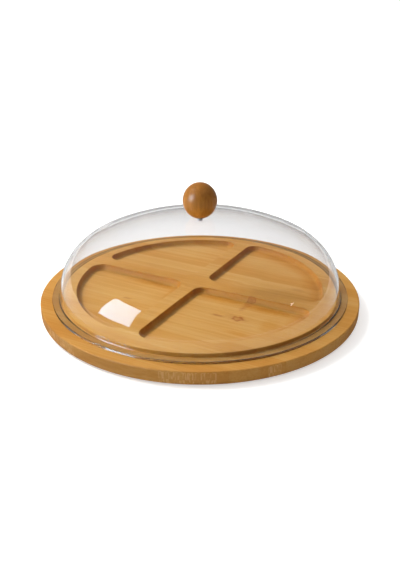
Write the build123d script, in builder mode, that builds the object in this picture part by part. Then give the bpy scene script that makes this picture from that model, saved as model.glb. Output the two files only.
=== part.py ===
from build123d import *
import os
from math import acos, cos, radians, sin, sqrt, tan

os.makedirs("parts", exist_ok=True)

# Board: a round slab with a low outer ledge and a raised middle.
board_radius = 170.0
ledge_height = 15.0
plateau_radius = 146.6
plateau_height = 20.3
board_foot_round = 5.5
board_rim_round = 1.0
plateau_rim_round = 0.7

# Compartments: four recesses cut with a round-nosed cutter, parted by a cross of two ribs.
recess_radius = 132.2
recess_centre = (-2.2, 3.5)
recess_depth = 6.5
recess_cove = 5.4
recess_corner = 12.5
rib_width = 16.8
rib_cross = (-9.75, 7.45)

# Dome: one moulded shell with an outward flange that stands on the ledge.
dome_wall = 2.5
flange_radius = 157.5
flange_thickness = 3.0
flange_round = 0.5
foot_fillet = 1.8
wall_root_radius = 150.4
wall_draft = radians(7.6)
wall_height = 8.4
shoulder_radius = 59.5
crown_radius = 275.0
screw_hole_radius = 1.8

# Knob and what fixes it to the crown.
knob_half_width = 17.8
knob_half_height = 18.8
knob_above_crown = 36.6
pad_radius = 5.8
pad_thickness = 0.6
insert_radius = 2.6
insert_length = 11.0
insert_end_gap = 1.0
screw_radius = 1.5
screw_head_radius = 3.2
screw_head_length = 1.7
washer_radius = 9.6
washer_thickness = 2.3
washer_play = 0.1
screw_reach = 9.5
screw_socket_radius = 1.15
screw_socket_depth = 1.2

# The shell is a drafted wall, a shoulder arc and a crown arc that meet tangentially.
flange_top = ledge_height + flange_thickness
wall_top = flange_top + wall_height
wall_top_radius = wall_root_radius - wall_height * tan(wall_draft)
shoulder_r = wall_top_radius - shoulder_radius * cos(wall_draft)
shoulder_z = wall_top - shoulder_radius * sin(wall_draft)
crown_z = shoulder_z - sqrt((crown_radius - shoulder_radius) ** 2 - shoulder_r**2)
join_angle = acos(shoulder_r / (crown_radius - shoulder_radius))
crown_top = crown_z + crown_radius


def shoulder_point(inset, angle):
    """Point on the shoulder arc, moved into the shell by inset."""
    r = shoulder_radius - inset
    return (shoulder_r + r * cos(angle), shoulder_z + r * sin(angle))


def crown_point(inset, radius):
    """Point on the crown arc at this distance from the axis, moved into the shell by inset."""
    r = crown_radius - inset
    return (radius, crown_z + sqrt(r**2 - radius**2))


def crown_join(inset):
    r = crown_radius - inset
    return (r * cos(join_angle), crown_z + r * sin(join_angle))


def wall_point(inset, z):
    """Point on the drafted wall, moved into the shell by inset."""
    return (wall_root_radius + (flange_top - z) * tan(wall_draft) - inset / cos(wall_draft), z)


# Board
with BuildPart() as board:
    with BuildSketch():
        Circle(board_radius)
    extrude(amount=ledge_height)
    with BuildSketch(Plane.XY.offset(ledge_height)):
        Circle(plateau_radius)
    extrude(amount=plateau_height - ledge_height)
    for side_x in (-1, 1):
        for side_y in (-1, 1):
            corner = (rib_cross[0] + side_x * rib_width / 2, rib_cross[1] + side_y * rib_width / 2)
            reach = 2 * recess_radius
            with BuildSketch(Plane.XY.offset(plateau_height)) as recess:
                with Locations(recess_centre):
                    Circle(recess_radius)
                with Locations((corner[0] + side_x * reach / 2, corner[1] + side_y * reach / 2)):
                    Rectangle(reach, reach, mode=Mode.INTERSECT)
                fillet(recess.vertices(), recess_corner)
            extrude(amount=-recess_depth, mode=Mode.SUBTRACT)
    floor_z = plateau_height - recess_depth
    floors = board.faces().filter_by(lambda f: abs(f.center().Z - floor_z) < 0.01 and f.normal_at().Z > 0.9)
    fillet(floors.edges(), recess_cove)
    top = board.faces().sort_by(Axis.Z)[-1]
    fillet(top.edges(), plateau_rim_round)
    ledge = board.faces().filter_by(lambda f: abs(f.center().Z - ledge_height) < 0.01)
    fillet(ledge.edges().sort_by(SortBy.LENGTH)[-1], board_rim_round)
    fillet(board.faces().sort_by(Axis.Z)[0].edges(), board_foot_round)
board.part.label = "board"
export_step(board.part, "parts/board.step")

# Dome
with BuildPart() as dome:
    with BuildSketch(Plane.XZ) as shell:
        with BuildLine():
            foot_in = wall_point(dome_wall, ledge_height)
            wall_in = shoulder_point(dome_wall, wall_draft)
            hole_in = crown_point(dome_wall, screw_hole_radius)
            hole_out = crown_point(0, screw_hole_radius)
            wall_out = (wall_top_radius, wall_top)
            mid_shoulder = (wall_draft + join_angle) / 2
            mid_crown = crown_radius * cos(join_angle) / 2
            Polyline(wall_in, foot_in, (flange_radius, ledge_height), (flange_radius, flange_top),
                     wall_point(0, flange_top), wall_out)
            ThreePointArc(wall_out, shoulder_point(0, mid_shoulder), crown_join(0))
            ThreePointArc(crown_join(0), crown_point(0, mid_crown), hole_out)
            Line(hole_out, hole_in)
            ThreePointArc(hole_in, crown_point(dome_wall, mid_crown), crown_join(dome_wall))
            ThreePointArc(crown_join(dome_wall), shoulder_point(dome_wall, mid_shoulder), wall_in)
        make_face()
        rim = shell.vertices().filter_by(lambda v: abs(v.X - flange_radius) < 0.01)
        fillet(rim, flange_round)
        foot = shell.vertices().filter_by(
            lambda v: abs(v.Z - flange_top) < 0.01 and abs(v.X - wall_root_radius) < 0.01
        )
        fillet(foot, foot_fillet)
    revolve(axis=Axis.Z)
dome.part.label = "dome"
export_step(dome.part, "parts/dome.step")

# Soft pad between the crown and the knob
pad_top = crown_top + pad_thickness
with BuildPart() as pad:
    with BuildSketch(Plane.XZ):
        with BuildLine():
            inner = crown_point(0, screw_hole_radius)
            outer = crown_point(0, pad_radius)
            Polyline(inner, (screw_hole_radius, pad_top), (pad_radius, pad_top), outer)
            ThreePointArc(outer, crown_point(0, (screw_hole_radius + pad_radius) / 2), inner)
        make_face()
    revolve(axis=Axis.Z)
pad.part.label = "knob_pad"
export_step(pad.part, "parts/knob_pad.step")

# Ball knob: a turned ball with a flat seat and a blind hole for the insert
knob_z = crown_top + knob_above_crown - knob_half_height
bore_top = pad_top + insert_length + insert_end_gap
with BuildPart() as knob:
    with BuildSketch(Plane.XZ):
        with Locations((0, knob_z)):
            Ellipse(knob_half_width, knob_half_height)
        with Locations((knob_half_width, pad_top + knob_half_height)):
            Rectangle(2 * knob_half_width, 2 * knob_half_height, mode=Mode.INTERSECT)
    revolve(axis=Axis.Z)
    with BuildSketch(Plane.XY.offset(pad_top)):
        Circle(insert_radius)
    extrude(amount=bore_top - pad_top, mode=Mode.SUBTRACT)
knob.part.label = "knob"
export_step(knob.part, "parts/knob.step")

# Threaded insert in the knob
with BuildPart() as insert:
    with BuildSketch(Plane.XY.offset(pad_top)):
        Circle(insert_radius)
        Circle(screw_radius, mode=Mode.SUBTRACT)
    extrude(amount=insert_length)
insert.part.label = "knob_insert"
export_step(insert.part, "parts/knob_insert.step")

# Clear washer under the crown, countersunk for the screw
washer_bottom = crown_point(dome_wall, 0)[1] - washer_play - washer_thickness
shank_bore = screw_radius + washer_play
head_bore = screw_head_radius + washer_play
with BuildPart() as washer:
    with BuildSketch(Plane.XZ) as washer_section:
        with BuildLine():
            seat_in = crown_point(dome_wall + washer_play, shank_bore)
            seat_out = crown_point(dome_wall + washer_play, washer_radius)
            Polyline(seat_in, (shank_bore, washer_bottom + screw_head_length), (head_bore, washer_bottom),
                     (washer_radius, washer_bottom), seat_out)
            ThreePointArc(seat_out, crown_point(dome_wall + washer_play, washer_radius / 2), seat_in)
        make_face()
        edge = washer_section.vertices().filter_by(
            lambda v: abs(v.Z - washer_bottom) < 0.01 and abs(v.X - washer_radius) < 0.01
        )
        fillet(edge, 0.8)
    revolve(axis=Axis.Z)
washer.part.label = "crown_washer"
export_step(washer.part, "parts/crown_washer.step")

# Countersunk screw, from under the crown up into the insert
with BuildPart() as screw:
    with BuildSketch(Plane.XZ):
        with BuildLine():
            shank_start = washer_bottom + screw_head_length
            screw_end = pad_top + screw_reach
            Polyline((0, washer_bottom), (screw_head_radius, washer_bottom), (screw_radius, shank_start),
                     (screw_radius, screw_end - 0.4), (screw_radius - 0.4, screw_end), (0, screw_end), close=True)
        make_face()
    revolve(axis=Axis.Z)
    with BuildSketch(Plane.XY.offset(washer_bottom)):
        RegularPolygon(screw_socket_radius, 6)
    extrude(amount=screw_socket_depth, mode=Mode.SUBTRACT)
screw.part.label = "crown_screw"
export_step(screw.part, "parts/crown_screw.step")
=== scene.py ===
from math import acos, cos, pi, radians, sin, sqrt, tan

import bmesh
import bpy
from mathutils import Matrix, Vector


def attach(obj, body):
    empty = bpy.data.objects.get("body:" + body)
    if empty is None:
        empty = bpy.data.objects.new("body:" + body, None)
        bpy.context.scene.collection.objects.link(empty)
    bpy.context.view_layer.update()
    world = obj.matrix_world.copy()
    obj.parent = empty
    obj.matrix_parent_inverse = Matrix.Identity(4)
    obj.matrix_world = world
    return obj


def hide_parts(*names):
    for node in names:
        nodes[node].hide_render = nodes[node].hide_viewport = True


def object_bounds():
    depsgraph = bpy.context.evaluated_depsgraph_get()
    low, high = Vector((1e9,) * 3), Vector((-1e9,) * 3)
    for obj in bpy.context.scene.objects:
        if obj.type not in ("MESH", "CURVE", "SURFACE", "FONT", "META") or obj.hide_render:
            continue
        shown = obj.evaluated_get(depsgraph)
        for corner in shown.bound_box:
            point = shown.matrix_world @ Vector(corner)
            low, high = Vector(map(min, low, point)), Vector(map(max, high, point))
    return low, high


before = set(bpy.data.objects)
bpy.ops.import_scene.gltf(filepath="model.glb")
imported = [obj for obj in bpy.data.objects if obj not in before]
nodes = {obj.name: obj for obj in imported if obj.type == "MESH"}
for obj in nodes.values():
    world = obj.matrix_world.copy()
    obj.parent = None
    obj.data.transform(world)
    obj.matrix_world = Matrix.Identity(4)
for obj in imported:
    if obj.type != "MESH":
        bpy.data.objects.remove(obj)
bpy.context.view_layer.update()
scene = bpy.context.scene


# ---------------------------------------------------------------- camera
AZIMUTH, ELEVATION, DISTANCE = radians(28.2), radians(24.73), 0.75
AIM = Vector((0, 0, 0.020))
FOCAL_LENGTH, SENSOR = 43.65, 36


def in_view(bearing, elevation, distance):
    """A place seen from the object: bearing is to the right of the camera's direction, all in degrees and metres."""
    a, e = AZIMUTH + radians(bearing), radians(elevation)
    return Vector((sin(a) * cos(e), -cos(a) * cos(e), sin(e))) * distance


back = Vector((sin(AZIMUTH) * cos(ELEVATION), -cos(AZIMUTH) * cos(ELEVATION), sin(ELEVATION)))
cam = bpy.data.objects.new("camera", bpy.data.cameras.new("camera"))
cam.location = AIM + back * DISTANCE
cam.rotation_mode = "QUATERNION"
cam.rotation_quaternion = (-back).to_track_quat("-Z", "Y")
cam.data.sensor_width = SENSOR
cam.data.lens = FOCAL_LENGTH
cam.data.clip_start, cam.data.clip_end = 0.02, 60
scene.collection.objects.link(cam)
scene.camera = cam


# ---------------------------------------------------------------- node helpers
def rgb(r, g, b):
    """A colour given in steps of 255, as linear light."""
    return tuple(((c / 255 + 0.055) / 1.055) ** 2.4 for c in (r, g, b)) + (1,)


class Nodes:
    """Short calls for building one material's node tree."""

    def __init__(self, name):
        self.mat = bpy.data.materials.new(name)
        self.mat.use_nodes = True
        self.nt = self.mat.node_tree
        self.nt.nodes.clear()
        self.out = self.new("OutputMaterial")

    def new(self, kind):
        return self.nt.nodes.new("ShaderNode" + kind)

    def set(self, socket, value):
        if isinstance(value, bpy.types.NodeSocket):
            self.nt.links.new(value, socket)
        else:
            socket.default_value = value

    def place(self):
        return self.new("TexCoord").outputs["Object"]

    def math(self, operation, *values):
        n = self.new("Math")
        n.operation = operation
        for socket, value in zip(n.inputs, values):
            self.set(socket, value)
        return n.outputs[0]

    def times(self, first, *others):
        """The product of all the values."""
        for other in others:
            first = self.math("MULTIPLY", first, other)
        return first

    def length(self, a, b):
        return self.math("SQRT", self.math("MULTIPLY_ADD", a, a, self.times(b, b)))

    def to_right(self, x, y):
        """How far a place lies to the right of the axis, seen from the camera's side."""
        return self.math("MULTIPLY_ADD", x, cos(AZIMUTH), self.times(y, sin(AZIMUTH)))

    def ramp(self, value, low, high, out_low=0.0, out_high=1.0, smooth=True):
        n = self.new("MapRange")
        n.interpolation_type = "SMOOTHSTEP" if smooth else "LINEAR"
        for socket, v in zip(n.inputs, (value, low, high, out_low, out_high)):
            self.set(socket, v)
        return n.outputs[0]

    def band(self, value, start, full, fade, end):
        """One between full and fade, and nothing outside start and end."""
        return self.times(self.ramp(value, start, full), self.ramp(value, fade, end, 1.0, 0.0))

    def mix(self, factor, a, b, blend="MIX"):
        n = self.new("Mix")
        n.data_type, n.blend_type = "RGBA", blend
        self.set(n.inputs[0], factor)
        self.set(n.inputs[6], a)
        self.set(n.inputs[7], b)
        return n.outputs[2]

    def stain(self, factor, colour, *tint):
        """The colour multiplied by the tint, as far as factor says."""
        return self.mix(factor, colour, tint + (1,), blend="MULTIPLY")

    def xyz(self, vector):
        n = self.new("SeparateXYZ")
        self.set(n.inputs[0], vector)
        return n.outputs

    def vector(self, *pairs):
        """A vector of three values, each given with its scale."""
        n = self.new("CombineXYZ")
        for socket, (value, scale) in zip(n.inputs, pairs):
            self.set(socket, self.times(value, scale))
        return n.outputs[0]

    def noise(self, vector, detail=2.0, roughness=0.5, scale=1.0):
        n = self.new("TexNoise")
        self.set(n.inputs["Vector"], vector)
        n.inputs["Scale"].default_value = scale
        n.inputs["Detail"].default_value = detail
        n.inputs["Roughness"].default_value = roughness
        return n.outputs[0]

    def swing(self, vector, detail=2.0, roughness=0.5):
        """Noise about zero."""
        return self.math("SUBTRACT", self.noise(vector, detail, roughness), 0.5)

    def random(self, value, seed):
        n = self.new("TexWhiteNoise")
        n.noise_dimensions = "2D"
        self.set(n.inputs["Vector"], self.vector((value, 1.0), (seed, 1.0), (0.0, 1.0)))
        return n.outputs[0]

    def bump(self, height, strength, distance):
        n = self.new("Bump")
        n.inputs["Strength"].default_value = strength
        n.inputs["Distance"].default_value = distance
        self.set(n.inputs["Height"], height)
        return n.outputs[0]

    def principled(self, **values):
        n = self.new("BsdfPrincipled")
        for key, value in values.items():
            self.set(n.inputs[key.replace("_", " ")], value)
        return n.outputs[0]

    def done(self, shader):
        self.nt.links.new(shader, self.out.inputs["Surface"])
        return self.mat


# ---------------------------------------------------------------- bamboo
def bamboo(name, along, strip, tones, gloss, specular, detail):
    """Glued bamboo strips with long fibres and darker bundles. The grain runs along X for 0, and along Z for 2.

    detail(m, u, v, w, colour, height) adds what is special to the piece, and gives back colour and height.
    """
    m = Nodes(name)
    dark, mid, light = (rgb(*tone) for tone in tones)
    axes = list(m.xyz(m.place()))
    u = axes.pop(along)
    v, w = axes
    v = m.math("MULTIPLY_ADD", m.swing(m.vector((u, 7.0), (v, 12.0), (0.0, 1.0))), 0.0022, v)
    index = m.math("FLOOR", m.math("DIVIDE", v, strip))
    across = m.math("FRACT", m.math("DIVIDE", v, strip))
    far_along = m.math("MULTIPLY_ADD", m.random(index, 7.1), 5.0, u)

    def fibres(long, wide, fineness):
        return m.swing(m.vector((far_along, long), (v, wide), (w, wide)), fineness, 0.6)

    streak = fibres(7.0, 540.0, 3.0)
    fine = fibres(30.0, 2100.0, 2.0)
    level = m.math("MULTIPLY_ADD", m.math("SUBTRACT", m.random(index, 3.7), 0.5), 0.22, 0.5)
    level = m.math("MULTIPLY_ADD", fibres(4.5, 95.0, 3.0), 0.46, level)
    level = m.math("MULTIPLY_ADD", streak, 0.64, level)
    level = m.math("MULTIPLY_ADD", m.swing(m.vector((u, 14.0), (v, 26.0), (w, 26.0))), 0.35, level)
    colour = m.mix(m.ramp(level, 0.15, 0.55, smooth=False), dark, mid)
    colour = m.mix(m.ramp(level, 0.5, 0.9, smooth=False), colour, light)
    honey = tuple(c * k for c, k in zip(mid, (1.0, 0.84, 0.55, 1)))
    colour = m.mix(m.times(m.random(index, 11.3), 0.22), colour, honey)
    colour = m.mix(m.ramp(fine, 0.05, 0.22, 0.0, 0.28), colour, dark)
    joint = m.math("ABSOLUTE", m.math("SUBTRACT", across, 0.5))
    colour = m.mix(m.ramp(joint, 0.47, 0.5, 0.0, 0.22), colour, dark)
    colour, height = detail(m, u, v, w, colour, m.math("MULTIPLY_ADD", fine, 0.5, streak))
    return m.done(m.principled(
        Base_Color=colour,
        Roughness=m.ramp(level, 0.1, 0.9, gloss + 0.07, gloss - 0.05),
        Normal=m.bump(height, 0.22, 0.0003),
        Specular_IOR_Level=specular,
    ))


def knob_detail(m, z, x, y, colour, height):
    """The knob is turned from two laminations, the darker one to the right of the joint; painted shade darkens its
    right side further and its top.
    """
    right = m.to_right(x, y)
    colour = m.stain(m.ramp(right, -0.0012, 0.0010), colour, 0.86, 0.84, 0.76)
    # Painted shade: the knob's right side grows darker away from the joint.
    colour = m.stain(m.ramp(right, 0.002, 0.016), colour, 0.80, 0.76, 0.70)
    # Painted shade: the top of the ball is darker.
    colour = m.stain(m.ramp(z, 0.104, 0.131), colour, 0.50, 0.50, 0.58)
    return colour, height


# The board's levels and radii, in metres.
RECESS_FLOOR, PLATEAU_TOP, PLATEAU_R, BOARD_R = 0.0138, 0.0203, 0.1466, 0.170
RECESS_CENTRE = (-0.0022, 0.0035)
# Lacquer on the compartments' floors: place along and across the grain, half length, half width, depth of colour.
STAINS = (
    (0.030, -0.0085, 0.036, 0.0065, 0.9), (0.085, -0.0105, 0.036, 0.0075, 0.9), (-0.050, -0.0080, 0.045, 0.0060, 0.8),
    (-0.024, -0.0220, 0.006, 0.018, 0.7), (0.100, -0.0420, 0.014, 0.020, 0.5), (0.080, -0.0700, 0.020, 0.0040, 0.6),
    (0.095, 0.0400, 0.035, 0.0040, 0.3), (0.104, 0.0620, 0.014, 0.018, 0.4),
)
# Node marks: place, half length and half width as above, depth of the outline, depth of the middle.
NODE_MARKS = (
    (0.0622, -0.0022, 0.0048, 0.0028, 0.6, 0.35), (0.0612, -0.0075, 0.0056, 0.0046, 0.40, 0.45),
    (0.0600, -0.0180, 0.0052, 0.0100, 0.0, 0.34), (0.0644, -0.0418, 0.0066, 0.0054, 0.9, 0.45),
    (0.0640, -0.0410, 0.0180, 0.0090, 0.0, 0.42), (0.0440, -0.0440, 0.0120, 0.0040, 0.0, 0.5),
    (-0.0592, -0.0535, 0.0060, 0.0022, 0.3, 0.5), (0.0950, 0.0500, 0.0120, 0.0040, 0.0, 0.25),
)


def board_detail(m, u, v, w, colour, height):
    """Painted shade in the coves, on the raised middle's outer wall and on the ledge; lacquer stains, an amber band
    along the floors' outer wall on the right, cut ends in the edge and node marks.
    """
    warp = m.swing(m.vector((u, 210.0), (v, 300.0), (1.3, 1.0)), 3.0, 0.65)
    out = m.length(u, v)
    inside = m.ramp(out, 0.136, 0.139, 1.0, 0.0)

    def away(x, y, long, wide, raggedness):
        """Distance from a place, in parts of its half length and half width, with a ragged outline."""
        du = m.math("DIVIDE", m.math("SUBTRACT", u, x), long)
        dv = m.math("DIVIDE", m.math("SUBTRACT", v, y), wide)
        return m.math("MULTIPLY_ADD", warp, raggedness, m.length(du, dv))

    # Painted shade darkens the coves and the raised middle's outer wall in a lacquer tone, and lacquer stains run out
    # a little over the floors.
    cove = m.times(m.ramp(w, RECESS_FLOOR + 0.0001, RECESS_FLOOR + 0.0020), inside)
    wall = m.times(m.ramp(w, 0.0154, 0.0158), m.ramp(out, PLATEAU_R - 0.0026, PLATEAU_R - 0.0006))
    cove_shade_and_stain = m.times(m.math("MAXIMUM", cove, wall), m.ramp(w, PLATEAU_TOP - 0.0003, PLATEAU_TOP, 1.0, 0.0))
    for *spot, depth in STAINS:
        cove_shade_and_stain = m.math("MAXIMUM", cove_shade_and_stain, m.ramp(away(*spot, 1.2), 0.3, 1.1, depth, 0.0))
    # An amber band over the compartments' floors along their outer wall, growing towards the right as seen from the
    # camera.
    ring = m.times(away(*RECESS_CENTRE, 1.0, 1.0, 0.006), m.ramp(w, 0.0158, 0.0165, 1.0, 0.0))
    ring = m.times(m.ramp(ring, 0.112, 0.127), inside, m.ramp(m.to_right(u, v), 0.02, 0.09, 0.0, 0.8))
    # The painted cove shade, the stains and the band all take one lacquer tint.
    colour = m.stain(m.math("MAXIMUM", cove_shade_and_stain, ring), colour, 0.89, 0.72, 0.38)
    # Painted shade: the ledge and the raised middle's outer edge are darker.
    colour = m.stain(m.ramp(out, PLATEAU_R - 0.0006, PLATEAU_R + 0.0044), colour, 0.78, 0.77, 0.68)

    # The cut ends of the inner layers show as fine ticks in the edge, in two patches on each side of the middle.
    side = m.math("ABSOLUTE", u)
    ends = m.math("MAXIMUM", m.band(side, 0.045, 0.047, 0.092, 0.094), m.band(side, 0.128, 0.129, 0.136, 0.137))
    ends = m.times(ends, m.ramp(out, BOARD_R - 0.0028, BOARD_R - 0.0010), m.ramp(w, 0.0138, 0.0146, 1.0, 0.0))
    layer = m.math("FLOOR", m.math("DIVIDE", w, 0.0068))
    layer = m.math("MULTIPLY_ADD", layer, 9.0, m.times(w, 90.0))
    tick = m.ramp(m.noise(m.vector((u, 620.0), (v, 620.0), (layer, 1.0)), 1.0), 0.46, 0.62)
    colour = m.mix(m.times(ends, m.math("MULTIPLY_ADD", tick, 0.34, 0.06)), colour, rgb(226, 182, 122))

    knots = 0.0
    for *spot, line, fill in NODE_MARKS:
        far = away(*spot, 1.5)
        rim = m.times(m.ramp(far, 0.5, 0.74), m.ramp(far, 0.74, 1.05, line, 0.0))
        knots = m.math("MAXIMUM", knots, m.math("MAXIMUM", rim, m.ramp(far, 0.1, 0.95, fill, 0.0)))
    colour = m.mix(knots, colour, rgb(146, 62, 20))
    return colour, m.math("MULTIPLY_ADD", knots, -0.8, height)


BOARD_TONES = ((186, 125, 55), (207, 150, 78), (217, 170, 104))
KNOB_TONES = ((178, 110, 34), (221, 148, 58), (241, 170, 80))
board_mat = bamboo("board_bamboo", 0, 0.0195, BOARD_TONES, 0.5, 0.12, board_detail)
knob_mat = bamboo("knob_bamboo", 2, 0.0082, KNOB_TONES, 0.30, 0.3, knob_detail)


# ---------------------------------------------------------------- clear plastics
def clear(name, tint, rough, ior):
    """Clear plastic that bends what is seen through it and lets lamps through."""
    m = Nodes(name)
    roughness = m.ramp(m.noise(m.place(), 3.0, 0.6, 26.0), 0.35, 0.8, rough, rough + 0.012)
    glass = m.principled(Base_Color=tint + (1,), Roughness=roughness, IOR=ior, Transmission_Weight=1.0)
    through = m.new("BsdfTransparent")
    m.set(through.inputs["Color"], (0.96, 0.965, 0.97, 1))
    swap = m.new("MixShader")
    m.set(swap.inputs[0], m.new("LightPath").outputs["Is Shadow Ray"])
    m.set(swap.inputs[1], glass)
    m.set(swap.inputs[2], through.outputs[0])
    return m.done(swap.outputs[0])


dome_mat = clear("clear_acrylic", (0.938, 0.942, 0.950), 0.0, 1.33)
washer_mat = clear("clear_washer", (0.985, 0.987, 0.987), 0.0, 1.012)
pad_mat = clear("clear_pad", (0.93, 0.93, 0.925), 0.03, 1.06)


# ---------------------------------------------------------------- metals
def metal(name, colour, rough, shine):
    """Turned metal with fine rings about the axis."""
    m = Nodes(name)
    x, y, z = m.xyz(m.place())
    rings = m.noise(m.vector((m.length(x, y), 6000.0), (0.0, 1.0), (z, 6000.0)))
    dull = tuple(c * 0.85 for c in colour)
    return m.done(m.principled(
        Base_Color=m.mix(m.ramp(rings, 0.3, 0.7), dull + (1,), colour + (1,)),
        Metallic=shine,
        Roughness=m.ramp(rings, 0.3, 0.7, rough - 0.06, rough + 0.06),
        Normal=m.bump(rings, 0.15, 0.00005),
    ))


steel_mat = metal("screw_steel", (0.80, 0.80, 0.79), 0.34, 0.45)
brass_mat = metal("insert_brass", (0.78, 0.58, 0.27), 0.3, 1.0)

FINISHES = {
    "board": board_mat, "knob": knob_mat, "knob_pad": pad_mat, "crown_washer": washer_mat, "crown_screw": steel_mat,
    "knob_insert": brass_mat,
}
for node_name, material in FINISHES.items():
    for slot in nodes[node_name].material_slots:
        slot.material = material
    if not nodes[node_name].material_slots:
        nodes[node_name].data.materials.append(material)


# ---------------------------------------------------------------- dome
# The same section as the CAD dome, turned finely enough for clean reflections. Millimetres, then metres.
WALL, LEDGE, FLANGE_TOP, FLANGE_R = 2.5, 15.15, 18.0, 157.5
ROOT_R, DRAFT, WALL_TOP, SHOULDER, CROWN, HOLE = 150.4, radians(7.6), 26.4, 59.5, 275.0, 1.8
RIM, FILLET = 0.5, 1.8
WALL_STEPS, ARC_STEPS, TURN_STEPS = 8, 48, 360
shoulder_r = ROOT_R - (WALL_TOP - FLANGE_TOP) * tan(DRAFT) - SHOULDER * cos(DRAFT)
shoulder_z = WALL_TOP - SHOULDER * sin(DRAFT)
crown_z = shoulder_z - sqrt((CROWN - SHOULDER) ** 2 - shoulder_r**2)
join = acos(shoulder_r / (CROWN - SHOULDER))


def steps(first, last, count, ends=True):
    """Even steps from first to last, which is left out without ends."""
    return [first + (last - first) * k / count for k in range(count + ends)]


def shell_line(inset):
    """The wall, shoulder and crown from the foot to the screw hole, moved into the shell by inset."""
    low = LEDGE if inset else FLANGE_TOP
    root = ROOT_R - inset / cos(DRAFT)
    line = [(root + (FLANGE_TOP - z) * tan(DRAFT), z) for z in steps(low, WALL_TOP, WALL_STEPS, False)]
    reach = SHOULDER - inset
    line += [(shoulder_r + reach * cos(t), shoulder_z + reach * sin(t)) for t in steps(DRAFT, join, ARC_STEPS, False)]
    r = CROWN - inset
    return line + [(q, crown_z + sqrt(r * r - q * q)) for q in steps(r * cos(join), HOLE, ARC_STEPS)]


def arc(x, z, radius, first, last):
    """An arc about (x, z), from first to last in degrees."""
    return [(x + radius * cos(radians(t)), z + radius * sin(radians(t))) for t in steps(first, last, 8)]


def turned(name, loop):
    """A closed section turned about Z, in metres."""
    bm = bmesh.new()
    rows = []
    for k in range(TURN_STEPS):
        a = 2 * pi * k / TURN_STEPS
        rows.append([bm.verts.new((r * cos(a) / 1000, r * sin(a) / 1000, z / 1000)) for r, z in loop])
    for k in range(TURN_STEPS):
        one, two = rows[k], rows[(k + 1) % TURN_STEPS]
        for j in range(len(loop)):
            i = (j + 1) % len(loop)
            bm.faces.new((one[j], two[j], two[i], one[i]))
    bmesh.ops.recalc_face_normals(bm, faces=bm.faces)
    mesh = bpy.data.meshes.new(name)
    bm.to_mesh(mesh)
    bm.free()
    mesh.shade_smooth()
    mesh.set_sharp_from_angle(angle=radians(40))
    obj = bpy.data.objects.new(name, mesh)
    scene.collection.objects.link(obj)
    return obj


inner = shell_line(WALL)
foot_r = ROOT_R + FILLET / cos(DRAFT) - FILLET * tan(DRAFT)
foot = arc(foot_r, FLANGE_TOP + FILLET, FILLET, 270, 180 + 7.6)
section = (
    [(inner[0][0], LEDGE)]
    + arc(FLANGE_R - RIM, LEDGE + RIM, RIM, 270, 360)
    + arc(FLANGE_R - RIM, FLANGE_TOP - RIM, RIM, 0, 90)
    + foot
    + [p for p in shell_line(0.0) if p[1] > foot[-1][1] + 0.3]
    + inner[:0:-1]
)
dome = turned("dome_shell", section)
dome.data.materials.append(dome_mat)
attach(dome, "lid")
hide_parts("dome")


# ---------------------------------------------------------------- floor
# White up to the horizon: past the lamps' reach it glows more. It is dimmer in what the plastic mirrors and shows.
FLOOR_WHITE, FLOOR_GLOW, FAR_GLOW, SEEN_GLOW, MIRRORED_WHITE = 0.68, 0.24, 0.80, 0.27, 0.23
m = Nodes("floor_white")
path = m.new("LightPath").outputs
bounced = m.times(path["Is Glossy Ray"], path["Is Reflection Ray"])
east, north, _ = m.xyz(m.place())
glow_level = m.ramp(m.length(east, north), 0.7, 3.2, FLOOR_GLOW, FAR_GLOW, smooth=False)
glow_level = m.math("MULTIPLY_ADD", bounced, -FLOOR_GLOW, glow_level)
glow = m.new("Emission")
m.set(glow.inputs["Color"], (1, 1, 1, 1))
m.set(glow.inputs["Strength"], m.math("MULTIPLY_ADD", path["Is Camera Ray"], SEEN_GLOW, glow_level))
diffuse = m.new("BsdfDiffuse")
m.set(diffuse.inputs["Color"], m.math("MULTIPLY_ADD", bounced, MIRRORED_WHITE - FLOOR_WHITE, FLOOR_WHITE))
both = m.new("AddShader")
m.set(both.inputs[0], diffuse.outputs[0])
m.set(both.inputs[1], glow.outputs[0])

bm = bmesh.new()
bmesh.ops.create_grid(bm, x_segments=1, y_segments=1, size=30)
mesh = bpy.data.meshes.new("floor")
bm.to_mesh(mesh)
bm.free()
floor = bpy.data.objects.new("floor", mesh)
floor.location.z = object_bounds()[0].z - 0.0001
scene.collection.objects.link(floor)
floor.data.materials.append(m.done(both.outputs[0]))


# ---------------------------------------------------------------- world
# The studio round the object: white where it is seen, and for reflections dark in front with a paler side behind.
SKY_BEHIND, SKY_FRONT, SKY_LOW = 0.22, 0.04, 0.2
world = bpy.data.worlds.new("studio")
world.use_nodes = True
nt = world.node_tree
sky = nt.nodes["Background"]


def world_node(kind, *values, **settings):
    """A node of the world with its inputs set in order, from a number or from another node's output."""
    n = nt.nodes.new("ShaderNode" + kind)
    for key, value in settings.items():
        setattr(n, key, value)
    for socket, value in zip([i for i in n.inputs if i.enabled], values):
        if isinstance(value, bpy.types.NodeSocket):
            nt.links.new(value, socket)
        else:
            socket.default_value = value
    return n.outputs


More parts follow.
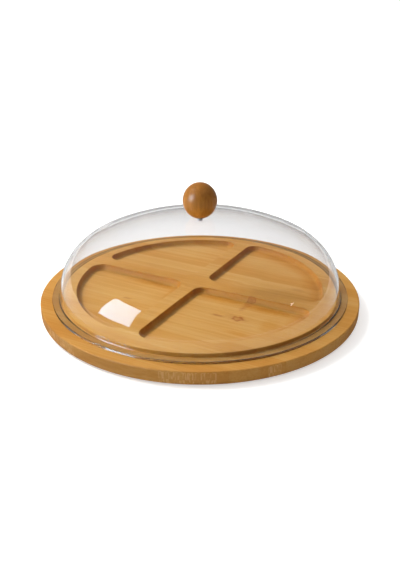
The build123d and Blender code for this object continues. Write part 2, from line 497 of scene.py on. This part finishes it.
where = world_node("TexCoord")["Generated"]
rise = world_node("SeparateXYZ", where)[2]
front = world_node("VectorMath", where, in_view(0, 20, 1), operation="DOT_PRODUCT")["Value"]
upper = world_node("MapRange", front, -0.6, 0.6, SKY_BEHIND, SKY_FRONT)[0]
reflected = world_node("MapRange", rise, 0.0, 0.12, SKY_LOW, upper)[0]
seen = world_node("LightPath")["Is Camera Ray"]
nt.links.new(world_node("Mix", seen, reflected, 1.0, data_type="FLOAT")[0], sky.inputs["Strength"])
sky.inputs["Color"].default_value = (0.98, 0.99, 1.0, 1)
scene.world = world


# ---------------------------------------------------------------- lamps
WARM_WHITE = (1, 0.985, 0.97)


def softbox(name, place, size, radiance, upright=False, mirrored=False, through=False, soft=True, tint=WARM_WHITE):
    """A rectangular lamp of this radiance, facing the object, or upright like a window.

    place is its bearing, elevation and distance. It is mirrored, seen through plastic, or lights matt surfaces.
    """
    width, height = size
    lamp = bpy.data.lights.new(name, "AREA")
    lamp.shape, lamp.size, lamp.size_y = "RECTANGLE", width, height
    lamp.energy = radiance * pi * width * height
    lamp.color = tint
    obj = bpy.data.objects.new(name, lamp)
    obj.location = in_view(*place)
    aim = -obj.location.copy()
    if upright:
        aim.z = 0
    obj.rotation_mode = "QUATERNION"
    obj.rotation_quaternion = aim.to_track_quat("-Z", "Y")
    obj.visible_glossy = mirrored
    obj.visible_transmission = through
    obj.visible_diffuse = soft
    scene.collection.objects.link(obj)


WINDOW, WINDOW_SIZE, WINDOW_TINT = (-65.8, 24.36, 1.552), (0.72, 0.894), (0.56, 0.84, 1.08)
softbox("window", WINDOW, WINDOW_SIZE, 16.5, upright=True, mirrored=True, through=True, soft=False, tint=WINDOW_TINT)
softbox("window_soft", WINDOW, WINDOW_SIZE, 3.0, upright=True)
softbox("glint", (79, 24.5, 1.45), (0.12, 0.06), 50.0, upright=True, through=True, soft=False)
softbox("key", (-105, 50, 1.7), (0.7, 0.7), 18.5)
softbox("overhead", (0, 89, 2.6), (5.0, 5.0), 0.90)

scene.view_settings.view_transform = "Standard"
scene.view_settings.look = "None"
